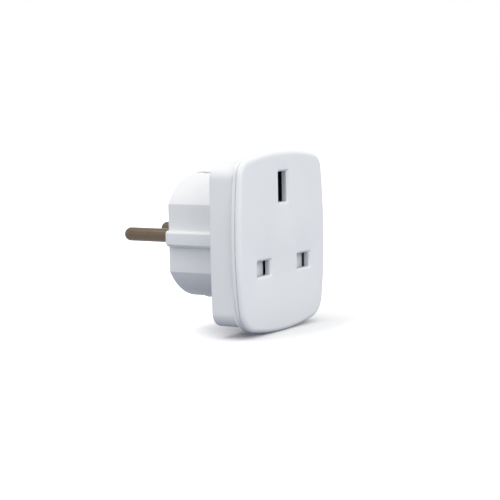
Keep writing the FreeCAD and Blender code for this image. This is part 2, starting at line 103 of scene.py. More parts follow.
class AdapterSizes(bpy.types.PropertyGroup):
    """Sizes of the pieces. A depth is measured from the socket face, a height from the pin line."""
    body_depth: length("Body depth", -cover_low.y, "Socket face to the plug body's end face")
    plate_half_width: length("Plate half width", cover_high.x, "Middle to a side of the front plate")
    plate_top: length("Plate top", cover_high.z, "Pin line to the top of the front plate")
    plate_bottom: length("Plate bottom", cover_low.z, "Pin line to the bottom of the front plate")
    plate_side_r: length("Plate side radius", 0.150, "Bow of the plate's sides")
    plate_arch_r: length("Plate arch radius", 0.105, "Bow of the plate's top and bottom")
    plate_corner_r: length("Upper corner radius", 0.0050, "Upper corners of the front plate")
    plate_low_side_r: length("Lower side radius", 0.105, "Bow of the plate's sides below the middle")
    plate_low_arch_r: length("Lower arch radius", 0.092, "Bow of the plate's bottom")
    plate_low_corner_r: length("Lower corner radius", 0.0074, "Lower corners of the front plate")
    face_edge_r: length("Face rounding", 0.0014, "Rounding between the face and its sides")
    land: length("Land", 0.0004, "Flat strip that carries on from a rounding into the flat inside it")
    plate_depth: length("Plate depth", housing_low.y - cover_low.y, "Depth of the front cover's plate")
    flange_depth: length("Rim depth", 0.0028, "Depth at which the housing's rim ends")
    seam_step: length("Seam step", 0.00008, "How far the rim lies inside the plate's outline")
    seam_deep: length("Seam groove", 0.00036, "Depth of the groove between the plate and the rim")
    seam_half: length("Seam half width", 0.00019, "Half the width of that groove")
    rim_edge_r: length("Rim rounding", 0.00020, "Rounding at the back of the rim")
    rim_root_r: length("Rim root", 0.00025, "Hollow rounding between the rim and the square body")
    spigot_gap: length("Spigot gap", 0.0002, "Room between the cover's spigot and the square body's wall")
    spigot_wall: length("Spigot wall", 0.0012, "Wall of the cover's spigot")
    spigot_end: length("Spigot end", 0.0044, "Depth at which the cover's spigot ends")
    mid_half_width: length("Square body half width", 0.023, "Middle to a side of the square body")
    mid_top: length("Square body top", 0.0226, "Pin line to the top of the square body")
    mid_bottom: length("Square body bottom", -0.0249, "Pin line to the bottom of the square body")
    mid_side_r: length("Square body side radius", 0.600, "Bow of the square body's sides")
    mid_arch_r: length("Square body arch radius", 0.150, "Bow of the square body's top and bottom")
    mid_corner_r: length("Square body corner radius", 0.0042, "Corners of the square body")
    mid_edge_r: length("Shoulder rounding", 0.0009, "Rounding at the back of the square body")
    mid_depth: length("Shoulder depth", 0.0107, "Socket face to the back of the square body")
    mid_wall: length("Square body wall", 0.0016, "Wall of the square body and the shoulder")
    plug_r: length("Plug radius", 0.0182, "Radius of the round plug body")
    plug_flat: length("Plug flat", 0.0154, "Middle to a flat of the plug body")
    plug_corner_r: length("Plug corner", 0.0003, "Rounding between a flat and the round part")
    plug_wall: length("Plug wall", 0.0016, "Wall of the round part of the plug body")
    flat_wall: length("Flat wall", 0.0010, "Wall of the plug body's flats")
    plug_edge_r: length("Plug end rounding", 0.0006, "Rounding of the plug body's end")
    end_wall: length("End wall", 0.0015, "Wall at the plug body's end")
    rib_proud: length("Rib height", 0.0024, "How far a side rib stands out from its flat")
    rib_half: length("Rib half width", 0.00230, "Middle of a side rib to its edge")
    rib_bevel: length("Rib bevel", 0.0007, "Bevel along a side rib")
    rib_soft: length("Rib rounding", 0.0003, "Rounding of a side rib's edges")
    rib_nose: length("Rib nose", 0.0013, "Length over which a side rib's end falls away")
    line_x: length("Line slot offset", 0.01111, "Middle to a lower slot")
    line_z: length("Line slot height", -0.008, "Pin line to the lower slots")
    earth_z: length("Earth slot height", 0.01422, "Pin line to the upper slot")
    line_slot_width: length("Line slot width", 0.00725, "Width of a lower slot")
    line_slot_height: length("Line slot opening", 0.0043, "Height of a lower slot")
    earth_slot_width: length("Earth slot width", 0.005, "Width of the upper slot")
    earth_slot_height: length("Earth slot opening", 0.0087, "Height of the upper slot")
    slot_chamfer: length("Slot bevel", 0.00055, "Bevel round each slot's mouth")
    slot_soft: length("Slot softening", 0.00008, "Rounding at both edges of that bevel")
    face_wall: length("Face wall", 0.002, "Wall of the socket face")
    window_half: length("Window half width", 0.00303, "Middle to a side of the earth strap's windows")
    window_end: length("Window end", 0.0275, "Depth at which the strap's windows end")
    window_reach: length("Window reach", 0.018815, "Pin line to the roof of a window under the shoulder")
    pin_x: length("Pin offset", 0.0095, "Middle to a round pin")
    pin_r: length("Pin radius", 0.002, "Radius of a round pin")
    pin_soft: length("Pin edge", 0.0001, "Bevel of the edges of a pin's collar and head")
    collar_r: length("Collar radius", 0.0023, "Radius of a pin's collar in the end wall")
    collar_gap: length("Collar gap", 0.00002, "Room between a collar and its hole")
    pin_head_r: length("Pin head radius", 0.0032, "Radius of a pin's head behind the end wall")
    pin_head: length("Pin head", 0.0015, "Thickness of that head")
    link_thick: length("Link thickness", 0.0008, "Thickness of the link under a pin's riveted end")
    pin_shank_r: length("Pin shank radius", 0.0013, "Radius of a pin where it passes the link")
    peen_r: length("Peen radius", 0.002, "Radius of a pin's riveted end")
    peen: length("Peen", 0.0006, "Height of a pin's riveted end")
    earth_hole_r: length("Earth hole radius", 0.0030, "Hole in the end for a wall socket's own earth pin")
    earth_hole_bevel: length("Earth hole bevel", 0.0005, "Bevel of that hole's mouth")
    earth_hole_drop: length("Earth hole drop", 0.010, "Pin line down to the earth hole")
    screw_x: length("Screw offset", 0.0173, "Middle to a screw")
    screw_top: length("Upper screws", 0.0154, "Pin line to the upper screws")
    screw_bottom: length("Lower screws", -0.0189, "Pin line to the lower screws")
    counterbore_r: length("Counterbore radius", 0.00265, "Hole round a screw's head")
    screw_bore_r: length("Screw bore radius", 0.00155, "Hole round a screw's shank")
    boss_r: length("Boss radius", 0.0032, "Radius of a screw's boss inside the square body")
    boss_depth: length("Boss depth", 0.0066, "Depth at which a screw's boss begins")
    screw_head_r: length("Screw head radius", 0.0024, "Radius of a screw's head")
    screw_sunk: length("Screw seat", 0.0018, "Depth of a screw's seat below the shoulder")
    screw_head: length("Screw head", 0.0015, "Thickness of a screw's head")
    screw_head_edge_r: length("Screw head rounding", 0.00045, "Rounding of a screw's head")
    screw_under: length("Screw head bevel", 0.00008, "Bevel under a screw's head")
    screw_shank_r: length("Screw shank radius", 0.0013, "Radius of a screw's shank")
    screw_point: length("Screw point", 0.00065, "Bevel of a screw's tip")
    screw_tip: length("Screw tip", 0.0030, "Depth at which a screw's tip lies")
    cross_depth: length("Cross depth", 0.0008, "Depth of the cross in a screw's head")
    cross_reach: length("Cross reach", 0.00142, "Middle of the cross to an arm's end, at its mouth")
    cross_half: length("Cross half width", 0.00037, "Half the width of an arm, at its mouth")
    cross_foot_reach: length("Cross foot reach", 0.00100, "Middle of the cross to an arm's end, at its foot")
    cross_foot_half: length("Cross foot half width", 0.00024, "Half the width of an arm, at its foot")
    strap_half: length("Strap half width", 0.0030, "Middle to an edge of the earth strap")
    strap_reach: length("Strap reach", 0.018350, "Pin line to the outer face of a strap leg")
    strap_thick: length("Strap thickness", 0.0004, "Thickness of a strap leg")
    strap_base: length("Strap base", 0.0006, "Thickness of the strap behind the end wall")
    strap_bend_r: length("Strap bend", 0.0040, "Outer radius of the strap's two bends")
    strap_front: length("Strap front", 0.0089, "Depth at which the strap's legs begin")
    strap_fade: length("Strap fade", 0.003, "Length over which a leg's arch fades out before its bend")
    strap_edge_r: length("Strap edge", 0.0001, "Rounding of the edges of a strap leg")
    lobe_r: length("Lobe radius", 0.0048, "Radius of the strap's base about the earth sleeve")
    sleeve_hole_r: length("Sleeve hole radius", 0.00297, "Hole in the strap's base for the earth sleeve")
    rivet_hole_r: length("Rivet hole radius", 0.00092, "Hole in the strap's base for the earth clip's rivet")
    rivet_z: length("Rivet height", 0.012935, "Pin line to the earth clip's rivet")
    spring_wire_r: length("Spring wire radius", 0.00018, "Radius of the shutter spring's wire")
    spring_coil_r: length("Spring coil radius", 0.00145, "Middle of the spring to the middle of its wire")
    spring_lift: length("Spring end rise", 0.00032, "Rise of the wire over the close turn at each end")
    # Region near the slots in which shade is painted into the cover's colour.
    painted_shade_half_width: length("Painted shade half width", 0.0165, "Middle to the side of the region with darker throats")
    painted_shade_half_height: length("Painted shade half height", 0.0205, "Pin line to the top or bottom of that region")


class AdapterColours(bpy.types.PropertyGroup):
    """Colours of the pieces and of the floor."""
    housing: tint("Housing", (0.768, 0.776, 0.782, 1.0), "White plastic of the cover and the housing")
    # The slot throat colour is painted shade: the cover's white blends towards it deeper inside the slots, where
    # shade falls.
    throat: tint("Painted slot shade", (0.520, 0.545, 0.600, 1.0), "Plastic of the cover inside its slots")
    shutter: tint("Shutter", (0.740, 0.745, 0.755, 1.0), "White plastic of the shutter")
    # Near black and bluish: the carrier's plastic with painted shade, so that the gaps beside the shutter read
    # dark.
    inner: tint("Inner plastic with painted shade", (0.042, 0.047, 0.060, 1.0), "Plastic of the contact carrier")
    pin: tint("Pins", (0.168, 0.127, 0.092, 1.0), "Plated brass of the round pins")
    bronze: tint("Contacts", (0.480, 0.300, 0.160, 1.0), "Spring bronze of the clips and links")
    earth: tint("Earth metal", (0.690, 0.680, 0.660, 1.0), "Plated brass of the earth strap and sleeve")
    zinc: tint("Screws", (0.480, 0.490, 0.500, 1.0), "Zinc on the screws")
    spring: tint("Spring", (0.380, 0.380, 0.390, 1.0), "Steel of the shutter spring")
    floor: tint("Floor", (0.900, 0.900, 0.905, 1.0), "Pale floor under the adapter")
    floor_bounce: tint("Floor bounce", (0.265, 0.290, 0.355, 1.0), "Tone of the light that the floor throws up")


# ---------------------------------------------------------------- surfaces

def place(xz, depths):
    """Points from (x, z) pairs and depths behind the socket face, which lies at y = -body_depth."""
    body_depth = bpy.context.scene.adapter_sizes.body_depth
    y = np.broadcast_to(depths - body_depth, xz.shape[:-1])
    return np.stack([xz[..., 0], y, xz[..., 1]], -1)


def arc(centre, radius, start, end, steps):
    """Points centre + radius * (cos t, sin t) for t from start to end, and their outward directions."""
    t = np.linspace(start, end, steps + 1)
    out = np.stack([np.cos(t), np.sin(t)], 1)
    return np.asarray(centre) + radius * out, out


def four_ways(upper, lower):
    """A closed line, or its outward directions, from its first quarter mirrored in x, in both and in z.

    The lower half comes from a quarter of its own. The ends of the quarters aren't repeated.
    """
    quarters = (upper, (upper * (-1, 1))[::-1], -lower, (lower * (1, -1))[::-1])
    return np.concatenate([quarter[:-1] for quarter in quarters])


def bowed_quarter(half, rise, side_r, arch_r, corner_r, steps=18):
    """First quarter of a bowed outline, and its outward directions.

    A side is an arc of side_r about a point on the cross line, the top is an arc of arch_r about a point on
    the upright line, and the corner's arc touches both: its centre is where circles of side_r - corner_r and
    arch_r - corner_r about those two points cross.
    """
    side, arch = np.array([half - side_r, 0.0]), np.array([0.0, rise - arch_r])
    near, far = side_r - corner_r, arch_r - corner_r
    gap = np.linalg.norm(arch - side)
    unit = (arch - side) / gap
    along = (near ** 2 - far ** 2 + gap ** 2) / (2 * gap)
    off = math.sqrt(near ** 2 - along ** 2)
    crossings = [side + along * unit + s * off * np.array([-unit[1], unit[0]]) for s in (-1, 1)]
    corner = max(crossings, key=np.sum)
    first, second = (math.atan2(*(corner - c)[::-1]) for c in (side, arch))
    spans = [arc(side, side_r, 0, first, steps), arc(corner, corner_r, first, second, steps),
             arc(arch, arch_r, second, math.pi / 2, steps)]
    points = np.concatenate([s[0][:-1] for s in spans[:2]] + [spans[2][0]])
    return points, np.concatenate([s[1][:-1] for s in spans[:2]] + [spans[2][1]])


def bowed_line(half, top, bottom, upper, lower):
    """Closed outline with bowed sides and an arched top and bottom, from an upper and a lower quarter."""
    middle, rise = (top + bottom) / 2, (top - bottom) / 2
    points, out = (four_ways(*quarters) for quarters in zip(bowed_quarter(half, rise, *upper),
                                                            bowed_quarter(half, rise, *lower)))
    return points + (0, middle), out


def plate_line():
    """Outline of the front plate, and its outward directions."""
    s = bpy.context.scene.adapter_sizes
    return bowed_line(s.plate_half_width, s.plate_top, s.plate_bottom,
                      (s.plate_side_r, s.plate_arch_r, s.plate_corner_r),
                      (s.plate_low_side_r, s.plate_low_arch_r, s.plate_low_corner_r))


def mid_line():
    """Outline of the square body, and its outward directions."""
    s = bpy.context.scene.adapter_sizes
    bows = (s.mid_side_r, s.mid_arch_r, s.mid_corner_r)
    return bowed_line(s.mid_half_width, s.mid_top, s.mid_bottom, bows, bows)


def slot_line(x, z, width, height, corner_r=0.0002, steps=4):
    """Rectangle with small round corners about (x, z), and its outward directions."""
    points, out = arc((width / 2 - corner_r, height / 2 - corner_r), corner_r, 0, math.pi / 2, steps)
    quarter = np.concatenate([[(width / 2, 0)], points, [(0, height / 2)]])
    quarter_out = np.concatenate([[(1, 0)], out, [(0, 1)]])
    return four_ways(quarter, quarter) + (x, z), four_ways(quarter_out, quarter_out)


def plug_line(radius, flat, corner_r):
    """Outline of a round bar with a flat on each side.

    A quarter is half a flat at x = flat, an arc of corner_r that touches the flat and the circle, and the
    circle of radius up to the top. One of its points lies at x = window_half, where the strap's window ends.
    """
    window_half = bpy.context.scene.adapter_sizes.window_half
    centre = np.array([flat - corner_r, math.sqrt((radius - corner_r) ** 2 - (flat - corner_r) ** 2)])
    turn, edge = math.atan2(centre[1], centre[0]), math.acos(window_half / radius)
    rise = np.linspace(0, centre[1], 9)
    quarter = np.concatenate([np.stack([np.full_like(rise, flat), rise], 1)[:-1],
                              arc(centre, corner_r, 0, turn, 6)[0][:-1],
                              arc((0, 0), radius, turn, edge, 32)[0][:-1],
                              arc((0, 0), radius, edge, math.pi / 2, 6)[0]])
    return four_ways(quarter, quarter)


def rounded(corners, radius, steps=4):
    """A closed polygon whose corners, taken anticlockwise, are arcs of this radius touching both sides."""
    corners = np.asarray(corners, float)
    before, after = np.roll(corners, 1, 0) - corners, np.roll(corners, -1, 0) - corners
    before /= np.linalg.norm(before, axis=1)[:, None]
    after /= np.linalg.norm(after, axis=1)[:, None]
    half = np.arccos((before * after).sum(1)) / 2
    inward = before + after
    inward /= np.linalg.norm(inward, axis=1)[:, None]
    centre = corners + inward * (radius / np.sin(half))[:, None]
    reach = (radius / np.tan(half))[:, None]
    start = corners + before * reach - centre
    turn = math.pi - 2 * half
    t = np.linspace(0, 1, steps + 1)[None] * turn[:, None]
    x = start[:, :1] * np.cos(t) - start[:, 1:] * np.sin(t)
    z = start[:, :1] * np.sin(t) + start[:, 1:] * np.cos(t)
    return (centre[:, None] + np.stack([x, z], -1)).reshape(-1, 2)


def ring_line(x, z, radius, steps=ROUND_STEPS):
    """Circle about (x, z), without its last point, which is the first one."""
    return arc((x, z), radius, 0, 2 * math.pi, steps)[0][:-1]


def carried(line, insets, depths):
    """Grid p[i, j]: point i of the line, moved in by insets[j] against its outward direction, at depths[j]."""
    points, out = line
    insets, depths = np.asarray(insets, float), np.asarray(depths, float)
    return place(points[:, None] - insets[None, :, None] * out[:, None], depths[None])


def ruled(first, second, depth):
    """Flat ring between two lines of as many points, at one depth."""
    return place(np.stack([first, second], 1), np.full((1, 2), depth))


def drawn(line, first, last):
    """A line carried straight from one depth to another."""
    return place(np.repeat(line[:, None], 2, 1), np.array([[first, last]]))


def quarter_turn(radius, steps=8):
    """Inset and depth along a rounding of this radius, from the face to the side: r(1 - sin t), r(1 - cos t)."""
    t = np.linspace(0, math.pi / 2, steps + 1)
    return radius * (1 - np.sin(t)), radius * (1 - np.cos(t))


def grid_part(points, closed=True):
    """A grid's points as one list, and the four corners of each of its cells. A closed grid joins round in u."""
    nu, nv = points.shape[:2]
    index = np.arange(nu * nv).reshape(nu, nv)
    if closed:
        index = np.concatenate([index, index[:1]])
    corners = np.stack([index[:-1, :-1], index[:-1, 1:], index[1:, 1:], index[1:, :-1]], -1)
    return points.reshape(-1, 3), corners.reshape(-1, 4)


def within(points, line):
    """Whether each point lies inside a closed line: the line crosses a ray to the right an odd number of times."""
    a, b = line, np.roll(line, -1, 0)
    x, z = points[:, :1], points[:, 1:]
    spans = (a[:, 1] > z) != (b[:, 1] > z)
    rise = np.where(b[:, 1] == a[:, 1], 1.0, b[:, 1] - a[:, 1])
    meets = a[:, 0] + (b[:, 0] - a[:, 0]) * (z - a[:, 1]) / rise
    return (spans & (x < meets)).sum(1) % 2 == 1


def finer(line, parts):
    """A closed line with each of its sides cut into this many equal parts."""
    share = np.arange(parts)[None, :, None] / parts
    return (line[:, None] * (1 - share) + np.roll(line, -1, 0)[:, None] * share).reshape(-1, 2)


def end_cap(ring):
    """Flat end of a tube whose last ring is convex: a fan of triangles from the ring's first point."""
    n = np.arange(1, len(ring) - 1)
    return ring, np.stack([np.zeros_like(n), n, n + 1], 1)


def turned_part(x, z, profile):
    """A profile of (radius, depth) pairs carried round the line through (x, z) along the pins' direction."""
    radii, depths = np.asarray(profile, float).T
    return grid_part(place(np.array([x, z]) + radii[None, :, None] * ring_line(0, 0, 1.0)[:, None], depths[None]))


def pierced_part(outer, holes, depth):
    """Flat face at one depth inside the outer line and outside the holes, cut into triangles."""
    lines = [outer, *holes]
    points = np.concatenate(lines) / MILLIMETRE
    edges, start = [], 0
    for line in lines:
        n = np.arange(len(line))
        edges.append(np.stack([start + n, start + (n + 1) % len(line)], 1))
        start += len(line)
    inside_only, nearest = 2, 1e-6
    made, _, faces, *_ = delaunay_2d_cdt([Vector(p) for p in points], np.concatenate(edges).tolist(), [],
                                         inside_only, nearest)
    flat = np.array([tuple(p) for p in made]) * MILLIMETRE
    faces = np.array(faces)
    middles = flat[faces].mean(1)
    kept = within(middles, outer)
    for hole in holes:
        kept &= ~within(middles, hole)
    return place(flat, np.full(len(flat), depth)), faces[kept]


def joined(name, parts, material, slot, body, *stands_for):
    """One closed mesh from the parts: doubles merged, faces turned outwards, edges over an angle kept sharp."""
    points, faces, start = [], [], 0
    for part_points, part_faces in parts:
        points.append(part_points)
        faces += (part_faces + start).tolist()
        start += len(part_points)
    mesh = bpy.data.meshes.new(name)
    mesh.from_pydata(np.concatenate(points).tolist(), [], faces)
    work = bmesh.new()
    work.from_mesh(mesh)
    bmesh.ops.remove_doubles(work, verts=work.verts, dist=1e-6)
    bmesh.ops.dissolve_degenerate(work, edges=work.edges, dist=1e-7)
    bmesh.ops.recalc_face_normals(work, faces=work.faces)
    work.to_mesh(mesh)
    work.free()
    mesh.shade_smooth()
    mesh.set_sharp_from_angle(angle=SHARP_ANGLE)
    piece = bpy.data.objects.new(name, mesh)
    bpy.context.scene.collection.objects.link(piece)
    mesh.materials.append(material)
    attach(piece, body)
    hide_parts(*stands_for)
    return piece


# ---------------------------------------------------------------- materials

def node_group(name, inputs, outputs):
    """A node group with its named sockets, and its input and output nodes."""
    group = bpy.data.node_groups.new(name, "ShaderNodeTree")
    for label, kind, default in inputs:
        socket = group.interface.new_socket(name=label, in_out="INPUT", socket_type=kind)
        socket.default_value = default
    for label, kind in outputs:
        group.interface.new_socket(name=label, in_out="OUTPUT", socket_type=kind)
    return group, group.nodes.new("NodeGroupInput"), group.nodes.new("NodeGroupOutput")


def add(tree, kind, settings=None, **values):
    """A node with its settings, and its inputs set or linked by name or number."""
    node = tree.nodes.new(kind)
    for key, value in (settings or {}).items():
        setattr(node, key, value)
    for key, value in values.items():
        socket = node.inputs[int(key[1:])] if key[0] == "_" else node.inputs[key.replace("_", " ")]
        if isinstance(value, bpy.types.NodeSocket):
            tree.links.new(value, socket)
        else:
            socket.default_value = value
    return node


def maths(tree, operation, *values):
    """Result of a Math node on sockets or numbers."""
    inputs = {f"_{place}": value for place, value in enumerate(values)}
    return add(tree, "ShaderNodeMath", {"operation": operation}, **inputs).outputs[0]


def blend(tree, share, first, second):
    """Colour between two colours, the second one where the share is 1."""
    return add(tree, "ShaderNodeMix", {"data_type": "RGBA"}, _0=share, _6=first, _7=second).outputs[2]


def moulded_group():
    """Moulded plastic: slow drift of tone, fine grain in height and gloss, all from Object coordinates."""
    group, source, sink = node_group(
        "Moulded plastic",
        [("Colour", "NodeSocketColor", (0.8, 0.8, 0.8, 1)), ("Drift", "NodeSocketFloat", 0.03),
         ("Roughness", "NodeSocketFloat", 0.35), ("Grain scale", "NodeSocketFloat", 2600.0),
         ("Grain height", "NodeSocketFloat", 0.05)],
        [("Colour", "NodeSocketColor"), ("Roughness", "NodeSocketFloat"), ("Normal", "NodeSocketVector")])
    drift_scale, noise_low, noise_high, gloss_spread, grain_reach = 70.0, 0.3, 0.7, 0.12, 0.0001
    where = add(group, "ShaderNodeTexCoord").outputs["Object"]
    slow = add(group, "ShaderNodeTexNoise", Vector=where, Scale=drift_scale, Detail=3.0).outputs["Fac"]
    fine = add(group, "ShaderNodeTexNoise", Vector=where, Scale=source.outputs["Grain scale"],
               Detail=2.0).outputs["Fac"]
    gain = add(group, "ShaderNodeMapRange", Value=slow, From_Min=noise_low, From_Max=noise_high,
               To_Min=maths(group, "SUBTRACT", 1.0, source.outputs["Drift"]),
               To_Max=maths(group, "ADD", 1.0, source.outputs["Drift"]))
    colour = add(group, "ShaderNodeVectorMath", {"operation": "SCALE"}, _0=source.outputs["Colour"],
                 Scale=gain.outputs[0])
    rough = maths(group, "MULTIPLY_ADD", fine, gloss_spread, source.outputs["Roughness"])
    bump = add(group, "ShaderNodeBump", Strength=source.outputs["Grain height"], Distance=grain_reach, Height=fine)
    group.links.new(colour.outputs[0], sink.inputs["Colour"])
    group.links.new(rough, sink.inputs["Roughness"])
    group.links.new(bump.outputs[0], sink.inputs["Normal"])
    return group


def painted_slot_shade_group():
    """Painted shade inside the slots: the colour blends to a dark tone by a smoothstep of depth behind the face,
    only near the slots.
    """
    s = bpy.context.scene.adapter_sizes
    group, source, sink = node_group(
        "Painted slot shade",
        [("Colour", "NodeSocketColor", (0.8, 0.8, 0.8, 1)), ("Dark", "NodeSocketColor", (0.3, 0.3, 0.3, 1))],
        [("Colour", "NodeSocketColor")])
    reached = 0.8   # share of the bevel and of the face's wall where the darkening starts and ends
    where = add(group, "ShaderNodeTexCoord").outputs["Object"]
    axes = add(group, "ShaderNodeSeparateXYZ", Vector=where)
    deep = add(group, "ShaderNodeMapRange", {"interpolation_type": "SMOOTHSTEP"}, Value=axes.outputs["Y"],
               From_Min=s.slot_chamfer * reached - s.body_depth, From_Max=s.face_wall * reached - s.body_depth)
    beside = maths(group, "LESS_THAN", maths(group, "ABSOLUTE", axes.outputs["X"]), s.painted_shade_half_width)
    below = maths(group, "LESS_THAN", maths(group, "ABSOLUTE", axes.outputs["Z"]), s.painted_shade_half_height)
    # Mask of the painted shade: deep behind the face and near the slots.
    mask = maths(group, "MULTIPLY", deep.outputs[0], maths(group, "MULTIPLY", beside, below))
    group.links.new(blend(group, mask, source.outputs["Colour"], source.outputs["Dark"]), sink.inputs["Colour"])
    return group


def metal_group():
    """Worked metal: fine rings or streaks along one axis, and a slow stain, from Object coordinates."""
    group, source, sink = node_group(
        "Worked metal",
        [("Colour", "NodeSocketColor", (0.5, 0.5, 0.5, 1)), ("Stain", "NodeSocketColor", (0.3, 0.3, 0.3, 1)),
         ("Stretch", "NodeSocketVector", (1.0, 1.0, 1.0)), ("Roughness", "NodeSocketFloat", 0.3),
         ("Line scale", "NodeSocketFloat", 1800.0), ("Line height", "NodeSocketFloat", 0.1)],
        [("Colour", "NodeSocketColor"), ("Roughness", "NodeSocketFloat"), ("Normal", "NodeSocketVector")])
    stain_scale, stain_low, stain_high, stain_most = 320.0, 0.5, 0.75, 0.45
    gloss_spread, line_reach = 0.16, 0.00005
    where = add(group, "ShaderNodeTexCoord").outputs["Object"]
    along = add(group, "ShaderNodeVectorMath", {"operation": "MULTIPLY"}, _0=where,
                _1=source.outputs["Stretch"]).outputs[0]
    lines = add(group, "ShaderNodeTexNoise", Vector=along, Scale=source.outputs["Line scale"],
                Detail=3.0).outputs["Fac"]
    slow = add(group, "ShaderNodeTexNoise", Vector=where, Scale=stain_scale, Detail=4.0,
               Roughness=0.6).outputs["Fac"]
    mask = add(group, "ShaderNodeMapRange", Value=slow, From_Min=stain_low, From_Max=stain_high, To_Min=0.0,
               To_Max=stain_most).outputs[0]
    colour = blend(group, mask, source.outputs["Colour"], source.outputs["Stain"])
    rough = maths(group, "MULTIPLY_ADD", lines, gloss_spread, source.outputs["Roughness"])
    bump = add(group, "ShaderNodeBump", Strength=source.outputs["Line height"], Distance=line_reach, Height=lines)
    group.links.new(colour, sink.inputs["Colour"])
    group.links.new(rough, sink.inputs["Roughness"])
    group.links.new(bump.outputs[0], sink.inputs["Normal"])
    return group


def shaded(name, group, values, metallic=0.0, **own):
    """A material: one Principled shader whose colour, roughness and normal come from a group."""
    material = bpy.data.materials.new(name)
    material.use_nodes = True
    tree = material.node_tree
    shader = next(n for n in tree.nodes if n.type == "BSDF_PRINCIPLED")
    shader.inputs["Metallic"].default_value = metallic
    for key, value in own.items():
        shader.inputs[key.replace("_", " ")].default_value = value
    finish = tree.nodes.new("ShaderNodeGroup")
    finish.node_tree = group
    for key, value in values.items():
        finish.inputs[key].default_value = value
    tree.links.new(finish.outputs["Colour"], shader.inputs["Base Color"])
    tree.links.new(finish.outputs["Roughness"], shader.inputs["Roughness"])
    tree.links.new(finish.outputs["Normal"], shader.inputs["Normal"])
    return material


def cover_material(plastic, values, **own):
    """The housing's white, with shade painted into it in the slots' throats."""
    material = shaded("Cover white with painted slot shade", plastic, values, **own)
    tree = material.node_tree
    finish = next(n for n in tree.nodes if n.type == "GROUP")
    throat = tree.nodes.new("ShaderNodeGroup")
    throat.node_tree = painted_slot_shade_group()
    throat.inputs["Colour"].default_value = values["Colour"]
    throat.inputs["Dark"].default_value = bpy.context.scene.adapter_colours.throat
    tree.links.new(throat.outputs["Colour"], finish.inputs["Colour"])
    return material


def make_materials():
    """Every finish by its slot's name, and the cover's white with its painted slot shade."""
    c = bpy.context.scene.adapter_colours
    plastic, metal = moulded_group(), metal_group()
    gloss = {"Colour": c.housing, "Drift": 0.012, "Roughness": 0.30, "Grain height": 0.04}
    made = {
        "white_housing": shaded("Housing white", plastic, gloss, Specular_IOR_Level=0.45),
        "white_cover": cover_material(plastic, gloss, Specular_IOR_Level=0.45),
        "white_shutter": shaded("Shutter white", plastic,
                                {"Colour": c.shutter, "Drift": 0.01, "Roughness": 0.36}),
        # The carrier's near-black colour is partly painted shade for the gaps seen through the slots.
        "inner_plastic": shaded("Inner grey with painted shade", plastic, {"Colour": c.inner, "Drift": 0.04, "Roughness": 0.5}),
    }
    # Slot, name, colour, share of the colour that is left in a stain, stretch of the lines, roughness
    turned, rolled, plain = (0.25, 6.0, 0.25), (1.0, 0.08, 1.0), (1.0, 1.0, 1.0)
    metals = (("plated_brass", "Plated brass", c.pin, 0.70, turned, 0.17),
              ("contact_bronze", "Spring bronze", c.bronze, 0.60, rolled, 0.32),
              ("earth_metal", "Plated earth metal", c.earth, 0.75, rolled, 0.30),
              ("zinc_steel", "Zinc on steel", c.zinc, None, plain, 0.34),
              ("spring_steel", "Spring steel", c.spring, 0.60, plain, 0.28))
    for slot, name, colour, left, stretch, roughness in metals:
        stain = (0.5, 0.45, 0.32, 1.0) if left is None else (*(v * left for v in colour[:3]), 1.0)
        made[slot] = shaded(name, metal, {"Colour": colour, "Stain": stain, "Stretch": stretch,
                                          "Roughness": roughness}, metallic=1.0)
    return made


# Filled by the first operator and read by the others
materials = {}


# ---------------------------------------------------------------- pieces

class ADAPTER_OT_finishes(bpy.types.Operator):
    """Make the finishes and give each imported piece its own"""
    bl_idname = "adapter.finishes"
    bl_label = "Finishes"

    def execute(self, context):
        materials.update(make_materials())
        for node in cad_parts.values():
            for holder in node.material_slots:
                holder.material = materials[holder.material.name]
        return {"FINISHED"}


class ADAPTER_OT_front_cover(bpy.types.Operator):
    """Make the front cover: the bowed plate with three bevelled slots and the frame behind it"""
    bl_idname = "adapter.front_cover"
    bl_label = "Front cover"

    def execute(self, context):
        s = context.scene.adapter_sizes
        plate, mid = plate_line(), mid_line()
        turn_in, turn_depth = quarter_turn(s.face_edge_r, 12)
        insets = np.concatenate([[s.face_edge_r + s.land], turn_in, [0, s.seam_half / 4, s.seam_deep]])
        depths = np.concatenate([[0], turn_depth, s.plate_depth - s.seam_half * np.array([1.5, 1, 0])])
        parts = [grid_part(carried(plate, insets, depths))]
        slots = [(side * s.line_x, s.line_z, s.line_slot_width, s.line_slot_height) for side in (-1, 1)]
        slots.append((0, s.earth_z, s.earth_slot_width, s.earth_slot_height))
        lines = [slot_line(*slot) for slot in slots]
        # The bevel of each mouth, softened by a small rounding where it meets the face and the throat
        bevel, soft = s.slot_chamfer, s.slot_soft
        grow = np.array([bevel + soft * 1.5, bevel + soft * 0.6, bevel - soft * 0.7, soft, 0, 0])
        mouth_depth = np.array([0, soft * 0.15, soft, bevel - soft * 0.6, bevel + soft, s.face_wall])
        parts += [grid_part(carried(line, -grow, mouth_depth)) for line in lines]
        holes = [points + grow[0] * out for points, out in lines]
        parts.append(pierced_part(plate[0] - insets[0] * plate[1], holes, 0.0))
        # Behind the plate: a flat land, the spigot's wall, its end and the floor of the well
        spigot = s.mid_wall + s.spigot_gap
        well = spigot + s.spigot_wall
        parts.append(grid_part(ruled(plate[0] - s.seam_deep * plate[1], mid[0] - spigot * mid[1], s.plate_depth)))
        parts.append(grid_part(carried(mid, [spigot, spigot, well, well],
                                       [s.plate_depth, s.spigot_end, s.spigot_end, s.face_wall])))
        parts.append(pierced_part(mid[0] - well * mid[1], [points for points, _ in lines], s.face_wall))
        joined("cover_shell", parts, materials["white_cover"], "white_housing", "adapter", "front_cover")
        return {"FINISHED"}


